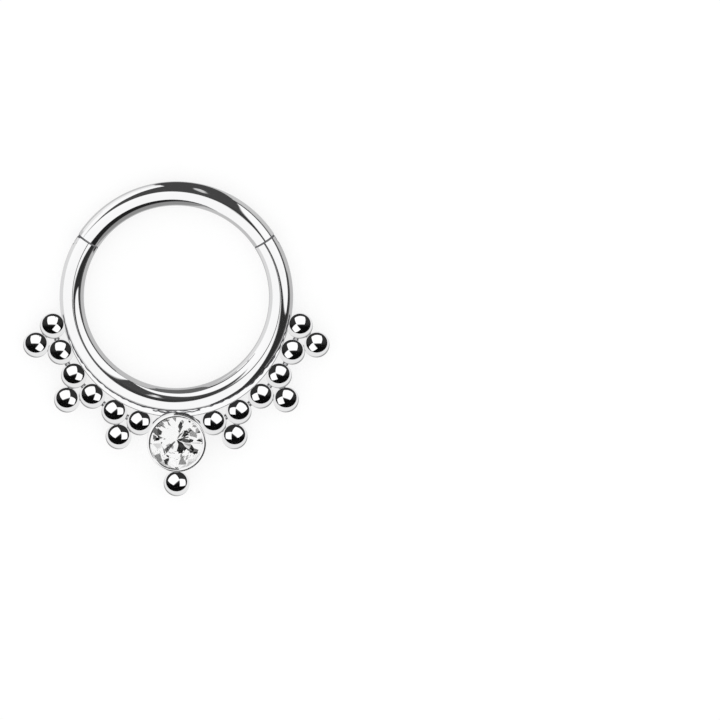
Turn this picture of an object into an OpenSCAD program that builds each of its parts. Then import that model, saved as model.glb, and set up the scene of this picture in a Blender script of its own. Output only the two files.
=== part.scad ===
// Hinged clicker ring for a piercing, with a row of soldered beads and a bezel-set stone.
// The ring lies flat on its back on z = 0: the stone faces +Z and the hinged arc lies towards +Y.
// The origin is the middle of the whole ornament on that surface. The modules draw each piece about the
// ring's own axis, and from_ring_centre() puts it in its place. Lengths are in millimetres.

/* [Ring wire] */
// Clear diameter through the ring
inner_d = 10; // [9.5:0.5:12]
// Diameter of the round wire
wire_d = 1.3; // [1.25:0.05:1.4]
// Height of both seams above the left-right line of the ring
seam_angle = 33; // [28:1:40]
// Open gap between the two faces of a seam
seam_gap = 0.05; // [0.03:0.01:0.06]

/* [Hinge and latch] */
// Distance of the hinge pin inside the fixed part, measured along the wire from the seam
hinge_back = 0.4; // [0.38:0.01:0.45]
// Distance of the hinge pin outside the middle of the wire
hinge_out = 0.38; // [0.36:0.01:0.4]
// Widest angle to which the segment opens
open_angle = 70; // [40:5:80]
// Diameter of the hinge pin
pin_d = 0.24; // [0.2:0.02:0.26]
// Thickness of the hinge tongue and of the latch tongue
tongue_w = 0.4; // [0.3:0.02:0.44]
// Length of the latch tongue
latch_len = 0.45; // [0.3:0.05:0.5]

/* [Beads] */
// Diameter of a bead
bead_d = 1.4; // [1.3:0.05:1.5]
// Open gap between neighbouring beads of the inner row
bead_gap = 0.085; // [0.06:0.005:0.12]
// Angle from straight down to the first bead of the row on each side
first_bead_angle = 17.2; // [17:0.2:18]
// How far the centre of the bead row lies below the centre of the ring
row_drop = 0.4; // [0.3:0.02:0.5]
// Groups of two inner beads and one outer bead on each side
groups = 3; // [1:1:3]
// Diameter of the solder neck between two beads
neck_d = 0.34; // [0.24:0.02:0.5]
// Depth of the backing strip from front to back
strip_h = 0.7; // [0.4:0.05:0.9]

/* [Stone and bezel] */
// Diameter of the stone at its girdle
stone_d = 2.88; // [2.6:0.02:3]
// Outer diameter of the bezel cup
bezel_d = 3.2; // [3.2:0.05:3.4]
// How far the bezel cup reaches over the outside of the wire
bezel_bite = 0.05; // [0.02:0.01:0.08]

/* [Hidden] */

wire_fn = 64;
sweep_fn = 240;
bead_fn = 64;
round_fn = 96;
small_fn = 32;

// Ring wire
wire_r = wire_d / 2;
ring_r = (inner_d + wire_d) / 2;
ring_outer_r = ring_r + wire_r;
wire_z = wire_r;
half_seam = seam_gap / 2;
// The wire runs this many degrees past a seam before the end is cut
end_margin = 10;
// Reach of the blocks that cut the wire ends
reach = 1.5;

// Hinge and latch
eye_r = 0.24;
// Half the width of the hinge tongue, a little less than its eye
eye_side = 0.22;
slot_clear = 0.03;
side_clear = 0.02;
pin_clear = 0.025;
pin_fit = 0.005;
// Reach of the pin in front of and behind the middle of the wire
pin_front = 0.4;
pin_back = 0.48;
pin_end_gap = 0.01;
relief_depth = 0.13;
relief_start = 0.02;
latch_low = -0.12;
latch_high = 0.6;
tongue_root = 0.3;
pivot = [-hinge_back, hinge_out];

// Beads
bead_r = bead_d / 2;
bead_bite_ring = 0.23;
bead_bite_strip = 0.06;
strip_bite_ring = 0.12;
bead_overlap = 0.02;
neck_root = 0.1;
row_r = ring_outer_r + bead_r - bead_bite_ring;
row_pitch = 2 * asin((bead_d + bead_gap) / 2 / row_r);
outer_row_r = row_r * cos(row_pitch / 2)
    + sqrt(pow(bead_d - bead_overlap, 2) - pow((bead_d + bead_gap) / 2, 2));
strip_outer_r = row_r - bead_r + bead_bite_strip;
strip_inner_r = ring_outer_r - strip_bite_ring;

// Stone and bezel: the stone's proportions are those of a round brilliant
pavilion_ratio = 0.415;
crown_ratio = 0.14;
table_ratio = 0.56;
star_ratio = 0.78;
lower_ratio = 0.24;
girdle_h = 0.05;
cup_floor = 0.2;
culet_gap = 0.04;
bore_gap = 0.03;
lip_gap = 0.04;
lip_h = 0.11;
foot_chamfer = 0.08;
rim_chamfer = 0.05;
stone_r = stone_d / 2;
table_r = table_ratio * stone_r;
star_r = star_ratio * stone_r;
lower_r = lower_ratio * stone_r;
culet_z = cup_floor + culet_gap;
girdle_low = culet_z + pavilion_ratio * stone_d;
girdle_high = girdle_low + girdle_h;
table_z = girdle_high + crown_ratio * stone_d;
bezel_r = bezel_d / 2;
bezel_y = -(ring_outer_r + bezel_r - bezel_bite);
lip_r = stone_r - bore_gap;
lip_z = girdle_high + lip_gap;
rim_z = lip_z + lip_h;
drop_bead_y = bezel_y - bezel_r - bead_r - bead_gap;

// Place of the ring's axis, halfway between the top of the wire and the lowest bead
ring_centre_y = -(ring_outer_r + drop_bead_y - bead_r) / 2;

// Angle from straight down of bead number k of the inner row
function bead_angle(k) = first_bead_angle + k * row_pitch;
// A point at a polar angle and height on the stone
function ring_point(r, angle, z) = [r * cos(angle), r * sin(angle), z];
// Height on a straight facet line that joins (r0, z0) and (r1, z1)
function line_z(r, r0, z0, r1, z1) = z0 + (z1 - z0) * (r - r0) / (r1 - r0);

// Moves a piece drawn about the ring's axis to its place
module from_ring_centre() {
    translate([0, ring_centre_y, 0])
        children();
}

// Local frame of the hinge seam: x runs along the wire into the segment and y runs outwards
module at_hinge_seam() {
    rotate([0, 0, 90 - seam_angle])
        translate([0, ring_r, wire_z])
            children();
}

// The same frame, mirrored to the seam at the click end
module at_click_seam() {
    mirror([1, 0, 0])
        at_hinge_seam()
            children();
}

// Round wire bent along the ring between two polar angles
module wire_arc(from, to) {
    translate([0, 0, wire_z])
        rotate([0, 0, from])
            rotate_extrude(angle = to - from, $fn = sweep_fn)
                translate([ring_r, 0])
                    circle(r = wire_r, $fn = wire_fn);
}

// Flat plate centred on the middle plane of the wire
module plate(thickness) {
    linear_extrude(height = thickness, center = true)
        children();
}

// Outline of the hinge tongue, with its round eye about the pin
module hinge_tongue_outline() {
    translate(pivot)
        circle(r = eye_r, $fn = small_fn);
    translate([-hinge_back, hinge_out - eye_side])
        square([hinge_back + tongue_root, 2 * eye_side]);
}

// Outline of the slot that the hinge tongue swings in, open to the outside of the wire
module hinge_slot_outline() {
    wall = eye_side + slot_clear;
    swing_start = pivot + wall * [-sin(open_angle), cos(open_angle)];
    swing_end = swing_start + reach * [cos(open_angle), sin(open_angle)];
    translate(pivot)
        circle(r = eye_r + slot_clear, $fn = small_fn);
    polygon([
        swing_start,
        swing_end,
        [reach, swing_end[1]],
        [reach, hinge_out - wall],
        [-hinge_back, hinge_out - wall],
    ]);
}

// Outline of the sloping relief that lets the outer edge of the segment swing past
module hinge_relief_outline() {
    polygon([
        [-half_seam, hinge_out - relief_start],
        [-half_seam - relief_depth, wire_r],
        [-half_seam - 2 * relief_depth, wire_r + reach],
        [reach, wire_r + reach],
        [reach, hinge_out - relief_start],
    ]);
}

module latch_tongue_outline() {
    translate([-latch_len, latch_low])
        square([latch_len + tongue_root, latch_high - latch_low]);
}

module latch_slot_outline() {
    translate([-latch_len - slot_clear, latch_low - slot_clear])
        square([latch_len + reach, reach]);
}

// Block that ends the wire at a seam face: side = 1 ends the fixed part and side = -1 ends the segment
module seam_block(side) {
    translate([side > 0 ? -half_seam : half_seam - reach, -reach, -reach])
        cube([reach, 2 * reach, 2 * reach]);
}

// Hole for the pin, open at the back of the wire and closed at its front
module pin_hole(d) {
    translate([pivot[0], pivot[1], -pin_back - wire_r])
        cylinder(d = d, h = pin_back + wire_r + pin_front + pin_end_gap, $fn = small_fn);
}

// Fixed arc of the wire, cut for the hinge and for the latch
module fixed_wire() {
    difference() {
        wire_arc(180 - seam_angle - end_margin, 360 + seam_angle + end_margin);
        at_hinge_seam() {
            seam_block(1);
            plate(tongue_w + 2 * side_clear)
                hinge_slot_outline();
            plate(2 * wire_d)
                hinge_relief_outline();
            pin_hole(pin_d + 2 * pin_fit);
        }
        at_click_seam() {
            seam_block(1);
            plate(tongue_w + 2 * side_clear)
                latch_slot_outline();
        }
    }
}

// Crescent that fills the space between the wire and the bead row
module backing_strip() {
    translate([0, 0, bead_r - strip_h / 2])
        linear_extrude(height = strip_h)
            difference() {
                translate([0, -row_drop])
                    circle(r = strip_outer_r, $fn = sweep_fn);
                circle(r = strip_inner_r, $fn = sweep_fn);
            }
}

// Frame on the bead row, at an angle from straight down on the right: x points away from the row's centre
module on_row(angle, r) {
    translate([0, -row_drop, bead_r])
        rotate([0, 0, angle - 90])
            translate([r, 0, 0])
                children();
}

module bead() {
    sphere(r = bead_r, $fn = bead_fn);
}

// Fine wire of solder that runs through the inner beads and shows as a neck in each gap
module solder_wire() {
    translate([0, -row_drop, bead_r])
        rotate([0, 0, first_bead_angle - 90])
            rotate_extrude(angle = (2 * groups - 1) * row_pitch, $fn = sweep_fn)
                translate([row_r, 0])
                    circle(d = neck_d, $fn = small_fn);
}

// All beads of the right side
module bead_side() {
    solder_wire();
    for (k = [0 : 2 * groups - 1])
        on_row(bead_angle(k), row_r)
            bead();
    for (g = [0 : groups - 1])
        on_row(bead_angle(2 * g + 0.5), outer_row_r)
            bead();
}

// Single bead below the bezel, with the neck that joins them
module drop_bead() {
    translate([0, drop_bead_y, bead_r]) {
        bead();
        rotate([-90, 0, 0])
            cylinder(d = neck_d, h = bead_r + bead_gap + neck_root, $fn = small_fn);
    }
}

module bezel_cup() {
    translate([0, bezel_y, 0])
        rotate_extrude($fn = round_fn)
            polygon([
                [0, 0],
                [bezel_r - foot_chamfer, 0],
                [bezel_r, foot_chamfer],
                [bezel_r, rim_z - 2 * rim_chamfer],
                [bezel_r - rim_chamfer, rim_z - rim_chamfer / 2],
                [lip_r + rim_chamfer, rim_z],
                [lip_r, rim_z - rim_chamfer / 2],
                [0, rim_z - rim_chamfer / 2],
            ]);
}

// Space for the stone: a cone for the pavilion, a bore for the girdle and the mouth inside the lip
module stone_seat() {
    translate([0, bezel_y, 0])
        rotate_extrude($fn = round_fn)
            polygon([
                [0, cup_floor],
                [stone_r + bore_gap, girdle_low - bore_gap],
                [stone_r + bore_gap, lip_z],
                [lip_r, lip_z + bore_gap],
                [lip_r, rim_z + bore_gap],
                [0, rim_z + bore_gap],
            ]);
}

module ring_body() {
    color([0.86, 0.87, 0.88])
        from_ring_centre()
            difference() {
                union() {
                    fixed_wire();
                    backing_strip();
                    bead_side();
                    mirror([1, 0, 0])
                        bead_side();
                    drop_bead();
                    bezel_cup();
                }
                stone_seat();
            }
}

module hinged_segment() {
    color([0.78, 0.8, 0.82])
        from_ring_centre()
            difference() {
                wire_arc(seam_angle - end_margin, 180 - seam_angle + end_margin);
                at_hinge_seam() {
                    difference() {
                        seam_block(-1);
                        plate(tongue_w)
                            hinge_tongue_outline();
                    }
                    pin_hole(pin_d + 2 * pin_clear);
                }
                at_click_seam()
                    difference() {
                        seam_block(-1);
                        plate(tongue_w)
                            latch_tongue_outline();
                    }
            }
}

module hinge_pin() {
    color([0.6, 0.62, 0.65])
        from_ring_centre()
            at_hinge_seam()
                translate([pivot[0], pivot[1], -pin_back])
                    cylinder(d = pin_d, h = pin_back + pin_front, $fn = small_fn);
}

// Round brilliant cut: table, stars, kites and upper halves above the girdle, mains and lower halves below it
module stone() {
    star_z = line_z(star_r * cos(22.5), table_r, table_z, stone_r, girdle_high);
    lower_z = line_z(lower_r * cos(22.5), 0, culet_z, stone_r, girdle_low);
    table = [for (i = [0 : 7]) ring_point(table_r, 45 * i, table_z)];
    stars = [for (i = [0 : 7]) ring_point(star_r, 45 * i + 22.5, star_z)];
    upper = [for (j = [0 : 15]) ring_point(stone_r, 22.5 * j, girdle_high)];
    under = [for (j = [0 : 15]) ring_point(stone_r, 22.5 * j, girdle_low)];
    lowers = [for (i = [0 : 7]) ring_point(lower_r, 45 * i + 22.5, lower_z)];
    points = concat(table, stars, upper, under, lowers, [[0, 0, culet_z]]);
    s0 = 8;
    u0 = 16;
    d0 = 32;
    l0 = 48;
    culet = 56;
    faces = concat(
        [[for (i = [0 : 7]) 7 - i]],
        [for (i = [0 : 7]) [i, (i + 1) % 8, s0 + i]],
        [for (i = [0 : 7]) [i, s0 + i, u0 + 2 * i, s0 + (i + 7) % 8]],
        [for (i = [0 : 7]) [s0 + i, u0 + 2 * i + 1, u0 + 2 * i]],
        [for (i = [0 : 7]) [s0 + i, u0 + (2 * i + 2) % 16, u0 + 2 * i + 1]],
        [for (j = [0 : 15]) [u0 + j, u0 + (j + 1) % 16, d0 + (j + 1) % 16, d0 + j]],
        [for (i = [0 : 7]) [l0 + i, d0 + 2 * i, d0 + 2 * i + 1]],
        [for (i = [0 : 7]) [l0 + i, d0 + 2 * i + 1, d0 + (2 * i + 2) % 16]],
        [for (i = [0 : 7]) [culet, l0 + (i + 7) % 8, d0 + 2 * i, l0 + i]]
    );
    color([0.93, 0.96, 0.98, 0.7])
        from_ring_centre()
            translate([0, bezel_y, 0])
                polyhedron(points = points, faces = faces, convexity = 4);
}

ring_body();
hinged_segment();
hinge_pin();
stone();
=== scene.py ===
"""Looks of a hinged clicker ring: polished wire, an edging of soldered beads and a crystal in a bezel.

Sizes in the classes are in millimetres and angles in degrees. Meshes are written in metres.
"""

import logging
import math
from dataclasses import dataclass
from enum import Enum
from typing import Sequence

import bpy
from mathutils import Matrix, Vector, noise


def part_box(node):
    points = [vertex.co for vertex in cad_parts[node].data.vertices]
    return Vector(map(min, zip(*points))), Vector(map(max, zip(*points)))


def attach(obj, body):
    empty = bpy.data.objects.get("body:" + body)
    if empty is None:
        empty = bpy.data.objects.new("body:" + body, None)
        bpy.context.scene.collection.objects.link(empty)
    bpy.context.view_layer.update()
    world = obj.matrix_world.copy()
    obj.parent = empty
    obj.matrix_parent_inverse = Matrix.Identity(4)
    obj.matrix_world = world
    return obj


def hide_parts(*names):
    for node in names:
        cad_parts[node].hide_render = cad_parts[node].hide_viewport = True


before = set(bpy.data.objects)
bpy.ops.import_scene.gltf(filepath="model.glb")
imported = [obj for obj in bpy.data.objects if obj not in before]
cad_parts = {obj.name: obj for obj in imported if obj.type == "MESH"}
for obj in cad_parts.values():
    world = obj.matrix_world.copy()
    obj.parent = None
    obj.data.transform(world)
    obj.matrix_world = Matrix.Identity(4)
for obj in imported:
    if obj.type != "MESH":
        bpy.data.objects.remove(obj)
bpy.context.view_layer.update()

MM = 0.001
# Polar angle of the ring's bottom.
DOWN = 270.0
# Values that noise mostly stays between, and the softness of a sharp edge on a softbox.
NOISE_SPAN = (0.3, 0.7)
SHARP = 0.03
LOG = logging.getLogger("clicker_ring")

Corner = tuple[float, float]
Colour = tuple[float, float, float]
Shape = tuple[list[Sequence[float]], list[Sequence[int]]]
Piece = bpy.types.Object
Material = bpy.types.Material
Socket = bpy.types.NodeSocket
Number = Socket | float


class Side(Enum):
    """Half of the ring that a piece belongs to, seen from the front."""

    LEFT = -1
    RIGHT = 1


class SeamEnd(Enum):
    """Which of the two seams a wire end belongs to."""

    HINGE = 1
    CLICK = -1


class Cut(Enum):
    """What a tool does to the mesh that it meets."""

    TAKE_AWAY = "DIFFERENCE"
    ADD = "UNION"
    KEEP_COMMON = "INTERSECT"


@dataclass(frozen=True)
class RingPlan:
    """Driving sizes that all sub-assemblies share, with the place of the hoop's top in the frame."""

    wire_top: float
    inner_d: float = 10.0
    wire_d: float = 1.3
    seam_angle: float = 33.0
    seam_gap: float = 0.05

    @property
    def wire_r(self) -> float:
        """Radius of the wire."""
        return self.wire_d / 2

    @property
    def ring_r(self) -> float:
        """Radius of the wire's centre line."""
        return (self.inner_d + self.wire_d) / 2

    @property
    def outer_r(self) -> float:
        """Radius of the outside of the hoop."""
        return self.ring_r + self.wire_r

    @property
    def centre_y(self) -> float:
        """Place of the hoop's centre, along y."""
        return self.wire_top - self.outer_r

    @property
    def place(self) -> Matrix:
        """Moves a piece drawn about the ring's own centre to its place on the surface."""
        return Matrix.Translation((0.0, self.centre_y, 0.0))

    def seam_frame(self, end: SeamEnd) -> Matrix:
        """Frame of a seam: x runs along the wire into the segment, y outwards and z to the front.

        Args:
            end: the hinge seam or the click seam.

        Returns:
            The matrix from the seam's frame to the row frame, in millimetres.
        """
        turn = Matrix.Rotation(math.radians(90 - self.seam_angle), 4, "Z")
        local = turn @ Matrix.Translation((0.0, self.ring_r, self.wire_r))
        if end is SeamEnd.CLICK:
            local = Matrix.Diagonal((-1.0, 1.0, 1.0, 1.0)) @ local
        return self.place @ local


def make_object(name: str, points: Sequence[Sequence[float]], faces: Sequence[Sequence[int]],
                place: Matrix | None = None, smooth: bool = True) -> Piece:
    """Makes a mesh object from points in millimetres.

    Args:
        name: name of the object.
        points: vertex positions.
        faces: vertex numbers of each face.
        place: matrix in millimetres that is applied to the points.
        smooth: whether the faces are shaded smooth.

    Returns:
        The new object, linked to the scene, at the origin.
    """
    place = place or Matrix()
    mesh = bpy.data.meshes.new(name)
    mesh.from_pydata([(place @ Vector(p)) * MM for p in points], [], [tuple(f) for f in faces])
    if place.is_negative:
        mesh.flip_normals()
    mesh.validate()
    mesh.polygons.foreach_set("use_smooth", [smooth] * len(mesh.polygons))
    made = bpy.data.objects.new(name, mesh)
    bpy.context.scene.collection.objects.link(made)
    return made


def joined(name: str, shapes: Sequence[Shape], place: Matrix) -> Piece:
    """Makes one object from several shapes.

    Args:
        name: name of the object.
        shapes: points and faces of each shape.
        place: matrix in millimetres that is applied to the points.

    Returns:
        The new object.
    """
    points: list[Sequence[float]] = []
    faces: list[Sequence[int]] = []
    for new_points, new_faces in shapes:
        faces += [tuple(len(points) + k for k in face) for face in new_faces]
        points += new_points
    return make_object(name, points, faces, place)


def prism(outline: Sequence[Corner], low: float, high: float, place: Matrix) -> Piece:
    """Makes a closed prism from an outline that runs anticlockwise.

    Args:
        outline: corners in the local x-y plane.
        low: local z of the bottom.
        high: local z of the top.
        place: matrix to the row frame, in millimetres.

    Returns:
        The prism as an object.
    """
    count = len(outline)
    points = [(x, y, low) for x, y in outline] + [(x, y, high) for x, y in outline]
    faces = [tuple(reversed(range(count))), tuple(range(count, 2 * count))]
    faces += [(i, (i + 1) % count, count + (i + 1) % count, count + i) for i in range(count)]
    return make_object("tool", points, faces, place, smooth=False)


def combine(target: Piece, tool: Piece, cut: Cut) -> None:
    """Applies an exact boolean to a mesh and removes the tool.

    Args:
        target: object whose mesh is changed.
        tool: object that changes it.
        cut: what the tool does to it.
    """
    modifier = target.modifiers.new("shape", "BOOLEAN")
    modifier.operation = cut.value
    modifier.solver = "EXACT"
    modifier.object = tool
    evaluated = target.evaluated_get(bpy.context.evaluated_depsgraph_get())
    mesh = bpy.data.meshes.new_from_object(evaluated)
    target.modifiers.clear()
    old = target.data
    target.data = mesh
    bpy.data.meshes.remove(old)
    bpy.data.objects.remove(tool)


def dress(piece: Piece, body: str, node: str, *materials: Material) -> None:
    """Gives a steel piece its materials, its body and the node that it stands for, and reports it.

    It is kept out of the other pieces' mirror images, so that each shows the clean softboxes.

    Args:
        piece: the piece.
        body: the body that it rides on.
        node: the node that it replaces.
        materials: its materials, in the order of its faces' slots.
    """
    for material in materials:
        piece.data.materials.append(material)
    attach(piece, body)
    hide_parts(node)
    piece.visible_glossy = False
    piece.visible_transmission = False
    LOG.info("%s: %d faces", piece.name, len(piece.data.polygons))


def recoat(node: str, material: Material) -> Piece:
    """Gives a piece of the frame its own material and reports it.

    Args:
        node: name of the piece.
        material: its material.

    Returns:
        The piece.
    """
    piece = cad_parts[node]
    piece.data.materials.clear()
    piece.data.materials.append(material)
    LOG.info("%s: as in the frame, in %s", node, material.name)
    return piece


def arc_points(centre: Corner, radius: float, start: float, end: float, steps: int) -> list[Corner]:
    """Points along an arc.

    Args:
        centre: middle of the arc.
        radius: radius of the arc.
        start: first angle.
        end: last angle.
        steps: number of points, ends included.

    Returns:
        The points in order.
    """
    angles = [math.radians(start + (end - start) * i / (steps - 1)) for i in range(steps)]
    return [(centre[0] + radius * math.cos(a), centre[1] + radius * math.sin(a)) for a in angles]


def circle_points(centre: Corner, radius: float, steps: int) -> list[Corner]:
    """Points round a full circle, with the first one not repeated at the end."""
    return arc_points(centre, radius, 0, 360 - 360 / steps, steps)


def rectangle(low: Corner, high: Corner) -> tuple[Corner, ...]:
    """Corners of a rectangle in anticlockwise order, from its low corner."""
    return low, (high[0], low[1]), high, (low[0], high[1])


def lathe(profile: Sequence[Corner], segments: int) -> Shape:
    """Turns a profile of (radius, height) points about the z axis.

    Args:
        profile: points from the bottom centre to the top centre; a radius of 0 closes the shell.
        segments: number of steps around.

    Returns:
        Points and faces of the shell.
    """
    points: list[Sequence[float]] = []
    rings: list[list[int]] = []
    for radius, height in profile:
        if radius == 0:
            rings.append([len(points)] * segments)
            points.append((0.0, 0.0, height))
            continue
        rings.append(list(range(len(points), len(points) + segments)))
        for k in range(segments):
            angle = math.tau * k / segments
            points.append((radius * math.cos(angle), radius * math.sin(angle), height))
    faces: list[Sequence[int]] = []
    for low, high in zip(rings, rings[1:]):
        for k in range(segments):
            nxt = (k + 1) % segments
            face = [low[k], low[nxt], high[nxt], high[k]]
            faces.append(list(dict.fromkeys(face)))
    return points, faces


def skin(rings: int, count: int) -> list[Sequence[int]]:
    """Faces that join rings of points into a closed skin, with a cap at each end.

    Args:
        rings: number of rings.
        count: number of points in each ring.

    Returns:
        The first cap, the sides and the last cap.
    """
    faces: list[Sequence[int]] = [tuple(range(count))]
    last = (rings - 1) * count
    for start in range(0, last, count):
        for k in range(start, start + count):
            nxt = start + (k + 1 - start) % count
            faces.append((k, count + k, count + nxt, nxt))
    return [*faces, tuple(reversed(range(last, last + count)))]


class Graph:
    """Small builder for node trees, so that patterns read as formulas."""

    def __init__(self, tree: bpy.types.NodeTree) -> None:
        """Keeps the tree that the nodes are added to."""
        self.tree = tree

    def node(self, kind: str, **settings: object) -> bpy.types.Node:
        """Adds a node.

        Args:
            kind: type of the node.
            settings: properties of the node.

        Returns:
            The node.
        """
        made = self.tree.nodes.new(kind)
        for key, value in settings.items():
            setattr(made, key, value)
        return made

    def join(self, source: Number, target: Socket) -> None:
        """Links a socket to another, or sets the target's own value.

        Args:
            source: a socket or a number.
            target: the input that takes it.
        """
        if isinstance(source, Socket):
            self.tree.links.new(source, target)
        else:
            target.default_value = source

    def math(self, operation: str, *values: Number, clamp: bool = False) -> Socket:
        """Adds a Math node.

        Args:
            operation: name of the operation.
            values: sockets or numbers for the inputs, in order.
            clamp: whether the result is held between 0 and 1.

        Returns:
            The result's socket.
        """
        made = self.node("ShaderNodeMath", operation=operation, use_clamp=clamp)
        for value, target in zip(values, made.inputs):
            self.join(value, target)
        return made.outputs[0]

    def ramp(self, value: Socket, span: Corner, levels: Corner) -> Socket:
        """Maps a span of values onto a span of levels, smoothly and clamped.

        Args:
            value: the value.
            span: values at which the result is at its first and last level.
            levels: first and last level.

        Returns:
            The level's socket.
        """
        made = self.node("ShaderNodeMapRange", interpolation_type="SMOOTHSTEP")
        for number, target in zip((value, *span, *levels), made.inputs):
            self.join(number, target)
        return made.outputs[0]

    def blend(self, factor: Number, low: Number, high: Number) -> Socket:
        """Mixes two numbers.

        Args:
            factor: share of the second number.
            low: first number.
            high: second number.

        Returns:
            The result's socket.
        """
        made = self.node("ShaderNodeMix", data_type="FLOAT")
        self.join(factor, made.inputs[0])
        self.join(low, made.inputs[2])
        self.join(high, made.inputs[3])
        return made.outputs[0]

    def tone(self, factor: Number, low: Colour, high: Colour) -> Socket:
        """Mixes two fixed colours.

        Args:
            factor: share of the second colour.
            low: first colour.
            high: second colour.

        Returns:
            The colour's socket.
        """
        made = self.node("ShaderNodeMix", data_type="RGBA")
        made.inputs["A"].default_value = (*low, 1.0)
        made.inputs["B"].default_value = (*high, 1.0)
        self.join(factor, made.inputs["Factor"])
        return made.outputs["Result"]

    def dot(self, vector: Socket, axis: Vector) -> Socket:
        """Dot product of a vector socket and a fixed axis.

        Args:
            vector: the vector's socket.
            axis: the axis.

        Returns:
            The product's socket.
        """
        made = self.node("ShaderNodeVectorMath", operation="DOT_PRODUCT")
        self.join(vector, made.inputs[0])
        made.inputs[1].default_value = tuple(axis)
        return made.outputs["Value"]

    def place(self) -> Socket:
        """Place on a piece, in metres."""
        return self.node("ShaderNodeTexCoord").outputs["Object"]

    def grain(self, place: Socket, scale: float, detail: float = 2.0) -> Socket:
        """Adds a noise pattern.

        Args:
            place: the coordinates that it follows.
            scale: its scale.
            detail: number of finer layers.

        Returns:
            The pattern's socket, mostly inside NOISE_SPAN.
        """
        made = self.node("ShaderNodeTexNoise")
        made.inputs["Scale"].default_value = scale
        made.inputs["Detail"].default_value = detail
        self.join(place, made.inputs["Vector"])
        return made.outputs["Fac"]

    def polygon(self, x: Socket, y: Socket, corners: Sequence[Corner], softness: float) -> Socket:
        """Mask of a convex polygon.

        Args:
            x: first coordinate.
            y: second coordinate.
            corners: corners in anticlockwise order.
            softness: width of the soft edge, in the coordinates' unit.

        Returns:
            A value from 0 outside to 1 inside.
        """
        mask: Number = 1.0
        for (x0, y0), (x1, y1) in zip(corners, [*corners[1:], corners[0]]):
            length = math.hypot(x1 - x0, y1 - y0)
            nx, ny = (y0 - y1) / length / softness, (x1 - x0) / length / softness
            along = self.math("MULTIPLY_ADD", x, nx, 0.5 - nx * x0 - ny * y0)
            edge = self.math("MULTIPLY_ADD", y, ny, along, clamp=True)
            mask = self.math("MULTIPLY", mask, edge)
        return mask


@dataclass(frozen=True)
class Patch:
    """An area of even brightness on a softbox or a foil, as a convex outline in anticlockwise order."""

    corners: tuple[Corner, ...]
    level: float = 1.0
    softness: float = 0.05


def round_patch(middle: Corner, radius: float, level: float, softness: float = SHARP) -> Patch:
    """Makes a round patch, with twelve corners."""
    return Patch(tuple(circle_points(middle, radius, 12)), level, softness)


def painted(graph: Graph, x: Socket, y: Socket, base: float, patches: Sequence[Patch]) -> Number:
    """Paints patches over an even base, in order.

    Args:
        graph: builder of the tree that the nodes are added to.
        x: first coordinate.
        y: second coordinate.
        base: brightness of the base.
        patches: the patches.

    Returns:
        The brightness.
    """
    level: Number = base
    for patch in patches:
        level = graph.blend(graph.polygon(x, y, patch.corners, patch.softness), level, patch.level)
    return level


def blank_material(name: str) -> tuple[Material, Graph, bpy.types.Node]:
    """Makes a node material.

    Args:
        name: its name.

    Returns:
        The material, a builder for its tree and its shader.
    """
    made = bpy.data.materials.new(name)
    made.use_nodes = True
    return made, Graph(made.node_tree), made.node_tree.nodes["Principled BSDF"]


@dataclass(frozen=True)
class SteelFinish:
    """Polished steel with faint hairlines and an uneven polish."""

    name: str
    tint: Colour = (0.955, 0.955, 0.96)
    polish: Corner = (0.025, 0.06)
    cloud_scale: float = 900.0
    cloud_detail: float = 4.0
    cloud_tone: float = 0.95
    hairline_scale: float = 5200.0
    hairline_stretch: float = 0.08
    hairline_turn: float = 24.0
    hairline_depth: float = 0.012
    scratch_height: float = 0.02

    def material(self) -> Material:
        """Builds the material from noise in object coordinates.

        Returns:
            The material.
        """
        made, graph, shader = blank_material(self.name)
        shader.inputs["Metallic"].default_value = 1.0
        place = graph.place()
        cloud = graph.grain(place, self.cloud_scale, self.cloud_detail)
        graph.join(graph.ramp(cloud, NOISE_SPAN, self.polish), shader.inputs["Roughness"])
        stretch = graph.node("ShaderNodeMapping")
        stretch.inputs["Scale"].default_value = (1.0, self.hairline_stretch, 1.0)
        stretch.inputs["Rotation"].default_value = (0.0, 0.0, math.radians(self.hairline_turn))
        graph.join(place, stretch.inputs["Vector"])
        hairline = graph.grain(stretch.outputs["Vector"], self.hairline_scale)
        bump = graph.node("ShaderNodeBump")
        bump.inputs["Strength"].default_value = self.hairline_depth
        bump.inputs["Distance"].default_value = self.scratch_height * MM
        graph.join(hairline, bump.inputs["Height"])
        graph.join(bump.outputs["Normal"], shader.inputs["Normal"])
        dull = tuple(self.cloud_tone * c for c in self.tint)
        graph.join(graph.tone(cloud, self.tint, dull), shader.inputs["Base Color"])
        return made


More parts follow.
